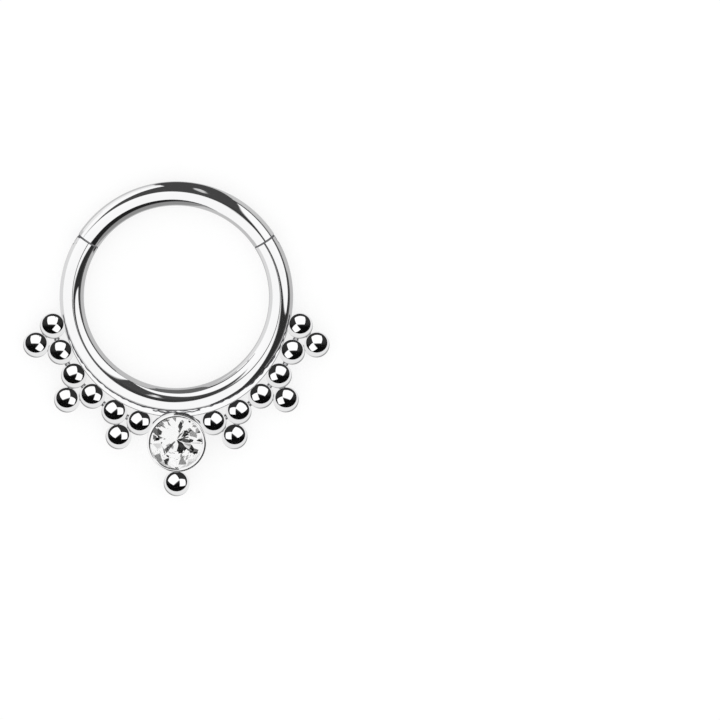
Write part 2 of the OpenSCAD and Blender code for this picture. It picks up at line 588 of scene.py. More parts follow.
@dataclass(frozen=True)
class CrystalFinish:
    """Clear cut crystal, foiled under its girdle as rhinestones are, with dark facet reflections painted on
    the foil.
    """

    middle_y: float
    shades: tuple[Patch, ...]
    girdle_z: float = 1.43
    name: str = "clear_crystal"
    index: float = 1.25
    haze_scale: float = 700.0
    haze: Corner = (0.0, 0.01)
    tint: Colour = (0.98, 0.98, 0.98)

    def material(self) -> Material:
        """Builds the glass, with a faint uneven polish and a mirror below the girdle.

        Polished pieces near the stone don't mirror it, so their own softboxes stay whole.

        Returns:
            The material.
        """
        made, graph, shader = blank_material(self.name)
        shader.inputs["Transmission Weight"].default_value = 1.0
        shader.inputs["IOR"].default_value = self.index
        place = graph.place()
        haze = graph.grain(place, self.haze_scale)
        graph.join(graph.ramp(haze, NOISE_SPAN, self.haze), shader.inputs["Roughness"])
        below = graph.math("LESS_THAN", graph.dot(place, Vector((0.0, 0.0, 1.0))), self.girdle_z * MM)
        graph.join(below, shader.inputs["Metallic"])
        x = graph.math("DIVIDE", graph.dot(place, Vector((1.0, 0.0, 0.0))), MM)
        y = graph.math("MULTIPLY_ADD", graph.dot(place, Vector((0.0, 1.0, 0.0))), 1 / MM, -self.middle_y)
        # The foil's colour is darkened by painted reflections of dark facets.
        foil_painted_reflections = painted(graph, x, y, 1.0, self.shades)
        tone = graph.tone(graph.blend(below, 1.0, foil_painted_reflections), (0.0, 0.0, 0.0), self.tint)
        graph.join(tone, shader.inputs["Base Color"])
        ray = graph.node("ShaderNodeLightPath")
        outside = graph.math("SUBTRACT", 1.0, graph.node("ShaderNodeNewGeometry").outputs["Backfacing"])
        passed = graph.math("GREATER_THAN", ray.outputs["Transparent Depth"], 0.5)
        hidden = graph.math("MULTIPLY", ray.outputs["Is Glossy Ray"], graph.math("MAXIMUM", outside, passed))
        graph.join(graph.math("SUBTRACT", 1.0, hidden), shader.inputs["Alpha"])
        return made


@dataclass(frozen=True)
class FloorFinish:
    """Matt paper that glows, so that hardly any shadow shows on it."""

    name: str = "pale_floor"
    shades: Corner = (0.26, 0.28)
    speck_scale: float = 300.0
    roughness: float = 0.9
    glow: float = 0.74

    def material(self) -> Material:
        """Builds the paper, with faint specks.

        Returns:
            The material.
        """
        made, graph, shader = blank_material(self.name)
        shader.inputs["Specular IOR Level"].default_value = 0.0
        shader.inputs["Roughness"].default_value = self.roughness
        shader.inputs["Emission Color"].default_value = (1.0, 1.0, 1.0, 1.0)
        shader.inputs["Emission Strength"].default_value = self.glow
        low, high = ((shade, shade, shade) for shade in self.shades)
        speck = graph.grain(graph.place(), self.speck_scale)
        graph.join(graph.tone(speck, low, high), shader.inputs["Base Color"])
        return made


@dataclass
class WireHoop:
    """The round wire in two arcs, with the hinge and the latch between them."""

    plan: RingPlan
    steel: Material
    sawn_with_painted_shade: Material
    sweep_step: float = 1.25
    round_steps: int = 80
    chamfer: float = 0.025
    tongue_chamfer: float = 0.001
    end_margin: float = 10.0
    hinge_back: float = 0.4
    hinge_out: float = 0.38
    open_angle: float = 70.0
    pin_d: float = 0.24
    tongue_w: float = 0.4
    latch_len: float = 0.45
    eye_r: float = 0.24
    eye_side: float = 0.22
    slot_clear: float = 0.03
    side_clear: float = 0.02
    pin_clear: float = 0.025
    pin_fit: float = 0.005
    pin_front: float = 0.41
    relief_depth: float = 0.13
    relief_start: float = 0.02
    latch_low: float = -0.12
    latch_high: float = 0.6
    root: float = 0.3
    reach: float = 1.5
    curve_steps: int = 40
    round_within: float = 0.002
    round_facing: float = 0.9

    @property
    def pivot(self) -> Corner:
        """Place of the pin's axis in the hinge seam's frame."""
        return -self.hinge_back, self.hinge_out

    def tube(self, name: str, start: float, end: float, chamfer: float) -> Piece:
        """Makes an arc of the wire with flat, lightly chamfered ends.

        Args:
            name: name of the object.
            start: polar angle of the first end.
            end: polar angle of the last end.
            chamfer: size of the chamfer at both ends.

        Returns:
            The arc as an object.
        """
        plan, count = self.plan, self.round_steps
        lead = math.degrees(chamfer / plan.ring_r)
        span = end - start - 2 * lead
        steps = math.ceil(span / self.sweep_step)
        rings = [(start, plan.wire_r - chamfer)]
        rings += [(start + lead + span * i / steps, plan.wire_r) for i in range(steps + 1)]
        rings.append((end, plan.wire_r - chamfer))
        points = []
        for angle, radius in rings:
            a = math.radians(angle)
            for k in range(count):
                t = math.tau * k / count
                r = plan.ring_r + radius * math.cos(t)
                points.append((r * math.cos(a), r * math.sin(a), plan.wire_r + radius * math.sin(t)))
        return make_object(name, points, [face[::-1] for face in skin(len(rings), count)], plan.place)

    def plate(self, outline: Sequence[Corner], thickness: float, end: SeamEnd) -> Piece:
        """Makes a plate on the middle plane of the wire at a seam."""
        return prism(outline, -thickness / 2, thickness / 2, self.plan.seam_frame(end))

    def pin_tool(self, diameter: float) -> Piece:
        """Makes the cylinder that bores the pin's hole, open at the back of the wire."""
        outline = circle_points(self.pivot, diameter / 2, self.curve_steps)
        return prism(outline, -2 * self.plan.wire_r, self.pin_front, self.plan.seam_frame(SeamEnd.HINGE))

    def slot_outline(self) -> list[Corner]:
        """Outlines the space that the hinge tongue swings in.

        Returns:
            The corners, in the hinge seam's frame.
        """
        x, y = self.pivot
        wall = self.eye_side + self.slot_clear
        swing = math.radians(self.open_angle)
        x0, y0 = x - wall * math.sin(swing), y + wall * math.cos(swing)
        x1, y1 = x0 + self.reach * math.cos(swing), y0 + self.reach * math.sin(swing)
        return [(x0, y0), (x, y - wall), (self.reach, y - wall), (self.reach, y1), (x1, y1)]

    def relief_outline(self) -> list[Corner]:
        """Outlines the sloping relief that the outer edge of the swinging arc passes.

        Returns:
            The corners, in the hinge seam's frame.
        """
        half, wire_r = self.plan.seam_gap / 2, self.plan.wire_r
        low, high = self.hinge_out - self.relief_start, wire_r + self.reach
        return [(-half, low), (self.reach, low), (self.reach, high), (-half - 2 * self.relief_depth, high),
                (-half - self.relief_depth, wire_r)]

    def seam_polar(self, side: Side, into_segment: bool) -> float:
        """Polar angle of a wire end at a seam, half a gap away from the seam's middle.

        Args:
            side: side of the seam.
            into_segment: whether the end is the swinging arc's.

        Returns:
            The angle about the ring's centre.
        """
        half = math.degrees(self.plan.seam_gap / 2 / self.plan.ring_r)
        angle = self.plan.seam_angle + (half if into_segment else -half)
        return angle if side is Side.RIGHT else 180 - angle

    def shade(self, arc: Piece) -> None:
        """Gives the wire's round surface its true normals and leaves cut faces flat and sawn, in a finish
        darkened as painted shade for the seams.

        Args:
            arc: an arc with all its cuts.
        """
        mesh, plan = arc.data, self.plan
        centre = Vector((0.0, plan.centre_y, plan.wire_r)) * MM
        normals = [Vector((0.0, 0.0, 1.0))] * len(mesh.loops)
        for face in mesh.polygons:
            on_wire = []
            for index in face.loop_indices:
                point = mesh.vertices[mesh.loops[index].vertex_index].co - centre
                spoke = Vector((point.x, point.y, 0.0)).normalized() * plan.ring_r * MM
                on_wire.append(point - spoke)
            is_round = all(abs(v.length - plan.wire_r * MM) < self.round_within * MM for v in on_wire)
            if is_round and on_wire[0].normalized().dot(face.normal) > self.round_facing:
                for index, v in zip(face.loop_indices, on_wire):
                    normals[index] = v.normalized()
            else:
                for index in face.loop_indices:
                    normals[index] = face.normal.copy()
                # Cut faces take slot 1: sawn steel, darkened as painted shade in the seams' gaps.
                face.material_index = 1
        mesh.normals_split_custom_set(normals)

    def fixed_arc(self) -> Piece:
        """Builds the lower arc, with the hinge slot, its relief, the pin's hole and the latch slot.

        Returns:
            The arc.
        """
        start, end = self.seam_polar(Side.LEFT, False), 360 + self.seam_polar(Side.RIGHT, False)
        arc = self.tube("fixed_arc", start, end, self.chamfer)
        slot_w = self.tongue_w + 2 * self.side_clear
        eye = circle_points(self.pivot, self.eye_r + self.slot_clear, self.curve_steps)
        latch_end = (-self.latch_len - self.slot_clear, self.latch_low - self.slot_clear)
        tools = [
            self.plate(eye, slot_w, SeamEnd.HINGE),
            self.plate(self.slot_outline(), slot_w, SeamEnd.HINGE),
            self.plate(self.relief_outline(), 3 * self.plan.wire_d, SeamEnd.HINGE),
            self.pin_tool(self.pin_d + 2 * self.pin_fit),
            self.plate(rectangle(latch_end, (self.reach, self.reach)), slot_w, SeamEnd.CLICK),
        ]
        for tool in tools:
            combine(arc, tool, Cut.TAKE_AWAY)
        self.shade(arc)
        return arc

    def tongue(self, end: SeamEnd, outline: Sequence[Corner]) -> Piece:
        """Makes a flat tongue with the wire's own round outside.

        Args:
            end: the seam that it crosses.
            outline: its outline, in the seam's frame.

        Returns:
            The tongue.
        """
        start, stop = self.plan.seam_angle - self.end_margin, self.plan.seam_angle + self.end_margin / 2
        if end is SeamEnd.HINGE:
            start, stop = 180 - stop, 180 - start
        made = self.tube("tongue", start, stop, self.tongue_chamfer)
        combine(made, self.plate(outline, self.tongue_w, end), Cut.KEEP_COMMON)
        return made

    def swing_arc(self) -> Piece:
        """Builds the upper arc, with its hinge tongue and its latch tongue.

        Returns:
            The arc.
        """
        start, end = self.seam_polar(Side.RIGHT, True), self.seam_polar(Side.LEFT, True)
        arc = self.tube("swing_arc", start, end, self.chamfer)
        lean = math.degrees(math.asin(self.eye_side / self.eye_r))
        hinge = arc_points(self.pivot, self.eye_r, lean, 360 - lean, self.curve_steps)
        hinge += [(self.root, self.hinge_out - self.eye_side), (self.root, self.hinge_out + self.eye_side)]
        latch = rectangle((-self.latch_len, self.latch_low), (self.root, self.latch_high))
        combine(arc, self.tongue(SeamEnd.HINGE, hinge), Cut.ADD)
        combine(arc, self.tongue(SeamEnd.CLICK, latch), Cut.ADD)
        combine(arc, self.pin_tool(self.pin_d + 2 * self.pin_clear), Cut.TAKE_AWAY)
        self.shade(arc)
        return arc

    def build(self) -> tuple[Piece, Piece]:
        """Builds and dresses both arcs.

        Returns:
            The fixed arc and the swinging arc.
        """
        fixed, swing = self.fixed_arc(), self.swing_arc()
        dress(fixed, "body", "ring_body", self.steel, self.sawn_with_painted_shade)
        dress(swing, "segment", "hinged_segment", self.steel, self.sawn_with_painted_shade)
        return fixed, swing


@dataclass(frozen=True)
class BeadPlace:
    """Where one bead sits, with the polar angle of the row there and the turn of its cluster."""

    name: str
    x: float
    y: float
    side: Side
    polar: float
    turn: float


@dataclass
class BeadEdging:
    """The row of soldered beads, with the strip behind them and the solder between them."""

    plan: RingPlan
    steel: Material
    solder: Material
    # Finish of the solder seams, dark as painted contact shadow.
    seam: Material
    bead_d: float = 1.4
    bead_gap: float = 0.085
    first_angle: float = 17.2
    row_drop: float = 0.4
    groups: int = 3
    cluster_turn: float = 21.0
    bottom_turn: float = 44.1
    ring_bite: float = 0.23
    strip_bite: float = 0.06
    overlap: float = 0.02
    strip_h: float = 0.7
    strip_round: float = 0.07
    strip_root: float = 5.7
    strip_steps: int = 180
    round_steps: int = 8
    sharp_angle: float = 40.0
    bead_rings: int = 32
    bead_segments: int = 64
    neck_r: float = 0.15
    touch_r: float = 0.18
    touch_slack: float = 0.01
    flare_reach: float = 0.05
    spool_sink: float = 0.065
    spool_steps: int = 8
    spool_sides: int = 20
    spool_lumps: float = 6.0
    spool_swell: float = 0.12
    seam_r: float = 0.045
    seam_sides: int = 10
    seam_lumps: float = 4.5
    seam_swell: float = 0.5
    seam_drift: float = 0.05
    drift_seed: tuple[float, float, float] = (9.0, 5.0, 2.0)
    seam_taper: int = 6
    wire_run: tuple[float, float, int] = (188.0, 352.0, 900)
    cup_run: tuple[float, float, int] = (36.0, 144.0, 160)
    pool_r: float = 0.036
    pool_width: float = 0.11
    pool_inner: float = 3.0
    pool_outer: float = 12.0
    pool_steps: int = 110

    @property
    def bead_r(self) -> float:
        """Radius of a bead."""
        return self.bead_d / 2

    @property
    def row_r(self) -> float:
        """Radius of the inner row about its own centre."""
        return self.plan.outer_r + self.bead_r - self.ring_bite

    @property
    def strip_r(self) -> float:
        """Outer radius of the strip about the row's centre."""
        return self.row_r - self.bead_r + self.strip_bite

    @property
    def strip_top(self) -> float:
        """Height of the strip's front."""
        return self.bead_r + self.strip_h / 2

    def places(self, bottom_y: float) -> list[BeadPlace]:
        """Works out the place of every bead.

        Args:
            bottom_y: distance of the bottom bead from the ring's centre, along y.

        Returns:
            Inner and outer beads of both sides and the bottom bead.
        """
        half_step = (self.bead_d + self.bead_gap) / 2
        pitch = 2 * math.degrees(math.asin(half_step / self.row_r))
        rise = math.sqrt((self.bead_d - self.overlap) ** 2 - half_step ** 2)
        outer_r = self.row_r * math.cos(math.radians(pitch / 2)) + rise
        steps = [(k, self.row_r, "inner") for k in range(2 * self.groups)]
        steps += [(2 * g + 0.5, outer_r, "outer") for g in range(self.groups)]
        made = []
        for side in Side:
            for number, (k, radius, row) in enumerate(steps):
                angle = math.radians(self.first_angle + k * pitch)
                x, y = side.value * radius * math.sin(angle), -self.row_drop - radius * math.cos(angle)
                polar = math.degrees(math.atan2(y, -abs(x))) % 360
                name = f"bead_{side.name.lower()}_{row}_{number % (2 * self.groups) + 1}"
                turn = self.cluster_turn * (self.groups - 1 - int(k) // 2)
                made.append(BeadPlace(name, x, y, side, polar, turn))
        made.append(BeadPlace("bead_bottom", 0.0, bottom_y, Side.LEFT, DOWN, self.bottom_turn))
        return made

    def bead(self, place: BeadPlace) -> Piece:
        """Builds one bead as a turned ball whose poles point along the row.

        Args:
            place: where it sits.

        Returns:
            The bead.
        """
        profile = [(0.0, -self.bead_r)]
        for i in range(1, self.bead_rings):
            lat = math.pi * i / self.bead_rings - math.pi / 2
            profile.append((self.bead_r * math.cos(lat), self.bead_r * math.sin(lat)))
        profile.append((0.0, self.bead_r))
        points, faces = lathe(profile, self.bead_segments)
        turn = Matrix.Rotation(math.radians(90), 4, "X")
        spin = Matrix.Rotation(math.radians(place.polar), 4, "Z")
        where = self.plan.place @ Matrix.Translation((place.x, place.y, self.bead_r)) @ spin @ turn
        return make_object(place.name, points, faces, where)

    def strip(self) -> Piece:
        """Builds the crescent strip behind the beads, with rounded outer edges.

        Returns:
            The strip.
        """
        low, high = self.bead_r - self.strip_h / 2, self.strip_top
        edge, rounding = self.strip_r - self.strip_round, self.strip_round
        profile = [(self.strip_root, low)]
        profile += arc_points((edge, low + rounding), rounding, -90, 0, self.round_steps)
        profile += arc_points((edge, high - rounding), rounding, 0, 90, self.round_steps)
        profile.append((self.strip_root, high))
        points: list[Sequence[float]] = []
        for x, y in arc_points((0.0, 0.0), 1.0, 180, 360, self.strip_steps + 1):
            points += [(r * x, r * y - self.row_drop, z) for r, z in profile]
        faces = skin(self.strip_steps + 1, len(profile))
        made = make_object("backing_strip", points, faces, self.plan.place)
        made.data.set_sharp_from_angle(angle=math.radians(self.sharp_angle))
        return made

    def spool(self, start: Vector, end: Vector, root: float, seed: float) -> Shape:
        """Shapes one bridge of solder between two beads.

        Args:
            start: centre of the first bead.
            end: centre of the second bead.
            root: radius at the waist.
            seed: offset of the noise that makes the solder uneven.

        Returns:
            Points and faces of the bridge.
        """
        reach = (end - start).length / 2 - self.bead_r + self.spool_sink
        profile = [(0.0, -reach)]
        for i in range(self.spool_steps + 1):
            t = 2 * i / self.spool_steps - 1
            profile.append((root + self.flare_reach * t * t, reach * t))
        profile.append((0.0, reach))
        points, faces = lathe(profile, self.spool_sides)
        turn = (end - start).to_track_quat("Z", "Y").to_matrix().to_4x4()
        where = Matrix.Translation((start + end) / 2) @ turn
        placed = []
        for x, y, z in points:
            spot = Vector((x * self.spool_lumps + seed, y * self.spool_lumps, z * self.spool_lumps))
            lumpy = 1 + self.spool_swell * noise.noise(spot)
            placed.append(where @ Vector((x * lumpy, y * lumpy, z)))
        return placed, faces

    def thread(self, path: Sequence[Vector], radius: float) -> Shape:
        """Shapes a lumpy thread of solder, tapered at both ends.

        Args:
            path: points along its middle.
            radius: its mean radius.

        Returns:
            Points and faces of the thread.
        """
        last = len(path) - 1
        points = []
        for i, middle in enumerate(path):
            run = path[min(i + 1, last)] - path[max(i - 1, 0)]
            side = run.cross(Vector((0.0, 0.0, 1.0))).normalized()
            lump = noise.noise(middle * self.seam_lumps)
            drift = noise.noise(middle * self.seam_lumps + Vector(self.drift_seed))
            taper = min(1.0, (i + 0.5) / self.seam_taper, (last - i + 0.5) / self.seam_taper)
            thick = radius * (1 + self.seam_swell * lump) * taper
            for k in range(self.seam_sides):
                t = math.tau * k / self.seam_sides
                across = (thick * math.cos(t) + self.seam_drift * drift) * side
                points.append(middle + across + Vector((0.0, 0.0, thick * math.sin(t))))
        return points, skin(len(path), self.seam_sides)

    def solder_seams(self, cup_y: float, cup_r: float) -> Piece:
        """Builds the seams of solder along the wire, round the cup and in the corners between them.

        Args:
            cup_y: place of the cup's axis, along y from the ring's centre.
            cup_r: outer radius of the cup.

        Returns:
            The seams as one joined mesh.
        """
        top, middle = self.strip_top, (0.0, 0.0)
        edge = self.plan.ring_r + math.sqrt(self.plan.wire_r ** 2 - (top - self.plan.wire_r) ** 2)
        runs = [(middle, edge, *self.wire_run, self.seam_r)]
        runs.append(((0.0, cup_y), cup_r, *self.cup_run, self.seam_r))
        for side in Side:
            start, end = DOWN + side.value * self.pool_inner, DOWN + side.value * self.pool_outer
            runs.append((middle, edge + self.pool_width, start, end, self.pool_steps, self.pool_r))
        shapes = []
        for centre, radius, start, end, steps, thick in runs:
            path = [Vector((x, y, top)) for x, y in arc_points(centre, radius, start, end, steps)]
            shapes.append(self.thread(path, thick))
        return joined("solder_seams", shapes, self.plan.place)

    def solder_joints(self, places: Sequence[BeadPlace]) -> Piece:
        """Builds the bridges of solder between all beads that meet.

        Args:
            places: places of the beads.

        Returns:
            The bridges as one joined mesh.
        """
        shapes = []
        centres = [Vector((p.x, p.y, self.bead_r)) for p in places]
        for i, start in enumerate(centres):
            for end in centres[i + 1:]:
                gap = (end - start).length - self.bead_d
                if gap <= self.bead_gap + self.touch_slack:
                    shapes.append(self.spool(start, end, self.neck_r if gap > 0 else self.touch_r, float(i)))
        return joined("solder_joints", shapes, self.plan.place)

    def build(self, cup_y: float, cup_r: float) -> tuple[list[Piece], list[BeadPlace]]:
        """Builds and dresses the strip, the beads and the solder.

        Args:
            cup_y: place of the bezel cup's axis, along y from the ring's centre.
            cup_r: outer radius of the cup.

        Returns:
            The strip, the two solder meshes and the beads, with the places of the beads in order.
        """
        places = self.places(cup_y - cup_r - self.bead_r - self.bead_gap)
        finishes = {"solder_joints": self.solder, "solder_seams": self.seam}
        made = [self.strip(), self.solder_joints(places), self.solder_seams(cup_y, cup_r)]
        made += [self.bead(place) for place in places]
        for piece in made:
            dress(piece, "body", "ring_body", finishes.get(piece.name, self.steel))
        return made, places


@dataclass
class StoneSetting:
    """The bezel cup with its rolled rim, which holds the crystal."""

    plan: RingPlan
    steel: Material
    foil: Material
    outer_r: float = 1.6
    bite: float = 0.05
    stone_r: float = 1.44
    cup_floor: float = 0.2
    girdle_low: float = 1.4352
    seat_gap: float = 0.03
    lip_z: float = 1.5252
    rim_z: float = 1.6352
    rim_steps: int = 15
    foot_chamfer: float = 0.08
    foot_steps: int = 8
    segments: int = 128
    sharp_angle: float = 35.0

    @property
    def y(self) -> float:
        """Place of the bezel's axis, along y from the ring's centre."""
        return -(self.plan.outer_r + self.outer_r - self.bite)

    def build(self) -> Piece:
        """Builds and dresses the cup: one turned shell, with its rim rolled over the stone's girdle.

        Returns:
            The cup.
        """
        lip_r, bore_r = self.stone_r - self.seat_gap, self.stone_r + self.seat_gap
        roll, foot = (self.outer_r - lip_r) / 2, self.foot_chamfer
        seat = [(bore_r, self.lip_z), (bore_r, self.girdle_low - self.seat_gap), (0.0, self.cup_floor)]
        profile = [(0.0, 0.0)]
        profile += arc_points((self.outer_r - foot, foot), foot, -90, 0, self.foot_steps)
        profile += arc_points((lip_r + roll, self.rim_z - roll), roll, 0, 180, self.rim_steps)
        points, faces = lathe([*profile, *seat], self.segments)
        where = self.plan.place @ Matrix.Translation((0.0, self.y, 0.0))
        cup = make_object("bezel_cup", points, faces, where)
        cup.data.set_sharp_from_angle(angle=math.radians(self.sharp_angle))
        for face in list(cup.data.polygons)[-len(seat) * self.segments:]:
            face.material_index = 1
        dress(cup, "body", "ring_body", self.steel, self.foil)
        return cup


@dataclass(frozen=True)
class WallPaint:
    """Brightness of one wall of a soft room: a base and the patches painted on it, in order."""

    base: float
    patches: tuple[Patch, ...] = ()


class Wall(Enum):
    """The six walls of a soft room, each by its outward direction as (right, up, towards the camera)."""

    CEILING = (0, 0, 1)
    TABLE = (0, 0, -1)
    LEFT = (-1, 0, 0)
    RIGHT = (1, 0, 0)
    TOP = (0, 1, 0)
    BOTTOM = (0, -1, 0)

    @property
    def flat(self) -> bool:
        """Whether the wall faces the camera's direction."""
        return self in (Wall.CEILING, Wall.TABLE)


@dataclass(frozen=True)
class SoftRoom:
    """A flat box of softboxes around the ring, whose walls are what the polished wire reflects.

    Ceiling and table are painted in (right, up), left and right in (up, towards) and top and bottom in
    (right, towards), all in units of the ceiling's height.
    """

    name: str
    height: float
    walls: dict[Wall, WallPaint]


@dataclass(frozen=True)
class Card:
    """A rectangular softbox near a bead, in units of the card distance, as (right, up, towards).

    The near and far middles are the middles of its two short edges.
    """

    name: str
    near: tuple[float, float, float]
    far: tuple[float, float, float]
    width: float
    level: float
    fade: float


def light_group(name: str, pieces: Sequence[Piece]) -> bpy.types.Collection:
    """Groups the pieces that softboxes light, or that block them.

    Args:
        name: name of the group.
        pieces: the pieces.

    Returns:
        The group.
    """
    group = bpy.data.collections.new(name)
    for piece in pieces:
        group.objects.link(piece)
    return group


@dataclass
class Studio:
    """Camera, floor, world and softboxes."""

    plan: RingPlan
    blockers: bpy.types.Collection
    tilt: float = 9.0
    lens: float = 250.0
    sensor: float = 36.0
    clip: Corner = (0.01, 5.0)
    picture: int = 720
    pixels_per_mm: float = 18.5
    ring_px: Corner = (176.5, 297.1)
    room_reach: float = 5.6
    room_level: float = 1.05
    mirror_span: Corner = (-0.2, 0.3)
    mirror_levels: Corner = (0.003, 0.03)
    least_near: float = 0.05
    card_distance: float = 30.0
    card_axis: float = 17.0
    table_axis: float = 30.0
    table_edge: float = 105.5
    table_distance: float = 12.0
    table_level: float = 0.85
    spot: Corner = (0.05, 0.09)
    spot_size: float = 0.19
    spot_level: float = 0.35
    spot_fade: float = 0.15
    floor_size: float = 800.0
    floor_z: float = -0.003

    @property
    def towards(self) -> Vector:
        """Direction from the ring to the camera."""
        return self.tilted(0.0)

    @property
    def up(self) -> Vector:
        """The picture's up direction."""
        return self.tilted(90.0)

    @property
    def ring_middle(self) -> Vector:
        """The centre of the wire hoop."""
        return Vector((0.0, self.plan.centre_y, self.plan.wire_r))

    def tilted(self, angle: float) -> Vector:
        """Direction that leans from the camera's direction towards the picture's top by an angle."""
        a = math.radians(self.tilt + angle)
        return Vector((0.0, math.sin(a), math.cos(a)))

    def world_vector(self, local: Sequence[float]) -> Vector:
        """Turns (right, up, towards) into the row frame."""
        return Vector((local[0], 0.0, 0.0)) + local[1] * self.up + local[2] * self.towards

    def camera(self) -> None:
        """Places the camera at the photo's angle and framing."""
        data = bpy.data.cameras.new("camera")
        data.lens = self.lens
        data.sensor_width = self.sensor
        data.clip_start, data.clip_end = self.clip
        made = bpy.data.objects.new("camera", data)
        bpy.context.scene.collection.objects.link(made)
        distance = self.picture / self.pixels_per_mm * self.lens / self.sensor
        eye = self.ring_middle + distance * self.towards
        across, down = ((self.picture / 2 - px) / self.pixels_per_mm for px in self.ring_px)
        target = self.ring_middle + self.world_vector((across, -down, 0.0))
        back = (eye - target).normalized()
        made.matrix_world = self.pose(eye, self.up.cross(back).normalized(), back)
        bpy.context.scene.camera = made

    @staticmethod
    def pose(middle: Vector, side: Vector, back: Vector) -> Matrix:
        """Matrix of an object at a point in millimetres, from its local x and z directions."""
        turn = Matrix((side, back.cross(side), back)).transposed().to_4x4()
        return Matrix.Translation(middle * MM) @ turn

    def world(self, shades: Sequence[Patch]) -> None:
        """Paints the room: pale for the camera and the floor, dark for mirrors, shaded for the crystal.

        Args:
            shades: dark areas that the crystal sees, in (right, up) on a plane one unit away.
        """
        made = bpy.data.worlds.new("room")
        bpy.context.scene.world = made
        made.use_nodes = True
        graph = Graph(made.node_tree)
        shader = made.node_tree.nodes["Background"]
        shader.inputs["Color"].default_value = (1.0, 1.0, 1.0, 1.0)
        ray = graph.node("ShaderNodeLightPath")
        heading = graph.node("ShaderNodeTexCoord").outputs["Generated"]
        right = graph.dot(heading, Vector((1.0, 0.0, 0.0)))
        high = graph.dot(heading, self.up)
        near = graph.math("MAXIMUM", graph.dot(heading, self.towards), self.least_near)
        x, y = graph.math("DIVIDE", right, near), graph.math("DIVIDE", high, near)
        gem = painted(graph, x, y, 1.0, shades)
        mirror = graph.ramp(high, self.mirror_span, self.mirror_levels)
        seen = graph.blend(ray.outputs["Is Glossy Ray"], self.room_level, mirror)
        seen = graph.blend(ray.outputs["Is Transmission Ray"], seen, gem)
        graph.join(graph.blend(ray.outputs["Is Camera Ray"], seen, 1.0), shader.inputs["Strength"])

    def floor(self) -> None:
        """Lays a glowing light table, which mirrors don't see and softboxes under it shine through."""
        size = self.floor_size
        points = [(x, y, self.floor_z) for x, y in rectangle((-size, -size), (size, size))]
        made = make_object("floor", points, [(0, 1, 2, 3)])
        made.data.materials.append(FloorFinish().material())
        made.visible_glossy = False
        made.visible_shadow = False

    def softbox(self, name: str, middle: Vector, along: Vector, back: Vector, size: Corner, level: float,
                group: bpy.types.Collection) -> bpy.types.Light:
        """Adds a softbox that lights only some pieces.

        Args:
            name: name of the light.
            middle: its middle, in millimetres.
            along: direction of its long edges.
            back: direction of its unlit back.
            size: width and length; a length of 0 makes it round.
            level: brightness of its face, where 1 is white.
            group: the pieces that it lights.

        Returns:
            The light's data.
        """
        data = bpy.data.lights.new(name, "AREA")
        data.shape = "RECTANGLE" if size[1] else "DISK"
        data.size = size[0] * MM
        data.size_y = size[1] * MM
        area = data.size * data.size_y if size[1] else math.pi / 4 * data.size ** 2
        data.energy = level * math.pi * area
        made = bpy.data.objects.new(name, data)
        bpy.context.scene.collection.objects.link(made)
        back = back.normalized()
        made.matrix_world = self.pose(middle, along.cross(back).normalized(), back)
        made.visible_camera = False
        made.light_linking.receiver_collection = group
        made.light_linking.blocker_collection = self.blockers
        return data

    def build_room(self, room: SoftRoom, *pieces: Piece) -> None:
        """Puts up the six walls of a soft room for some pieces.

        Args:
            room: the room.
            pieces: the pieces that it lights.
        """
        group = light_group("lit_by_" + room.name, pieces)
        reach = self.room_reach
        for wall, paint in room.walls.items():
            out = self.world_vector(wall.value)
            along = self.up if wall.flat else self.towards
            half = reach if wall.flat else 1.0
            middle = self.ring_middle + room.height * (1.0 if wall.flat else reach) * out
            size = (2 * reach * room.height, 2 * half * room.height)
            data = self.softbox(f"{room.name}_{wall.name.lower()}", middle, along, out, size, 1.0, group)
            side = along.cross(out)
            flip = side.x + side.dot(self.up) < 0
            self.paint(data, paint, -reach if flip else reach, half)
        LOG.info("%s: %d walls for %d pieces", room.name, len(room.walls), len(pieces))

    def paint(self, data: bpy.types.Light, paint: WallPaint, across: float = 1.0, half: float = 1.0) -> None:
        """Paints the face of a softbox.

        Args:
            data: the light.
            paint: base and patches.
            across: first coordinate at the right edge of its face; negative where it runs leftwards.
            half: second coordinate at its top edge.
        """
        data.use_nodes = True
        graph = Graph(data.node_tree)
        level: Number = paint.base
        if paint.patches:
            split = graph.node("ShaderNodeSeparateXYZ")
            graph.join(graph.node("ShaderNodeNewGeometry").outputs["Parametric"], split.inputs[0])
            x = graph.math("MULTIPLY_ADD", split.outputs[0], 2 * across, -across)
            y = graph.math("MULTIPLY_ADD", split.outputs[1], 2 * half, -half)
            level = painted(graph, x, y, paint.base, paint.patches)
        graph.join(level, data.node_tree.nodes["Emission"].inputs["Strength"])

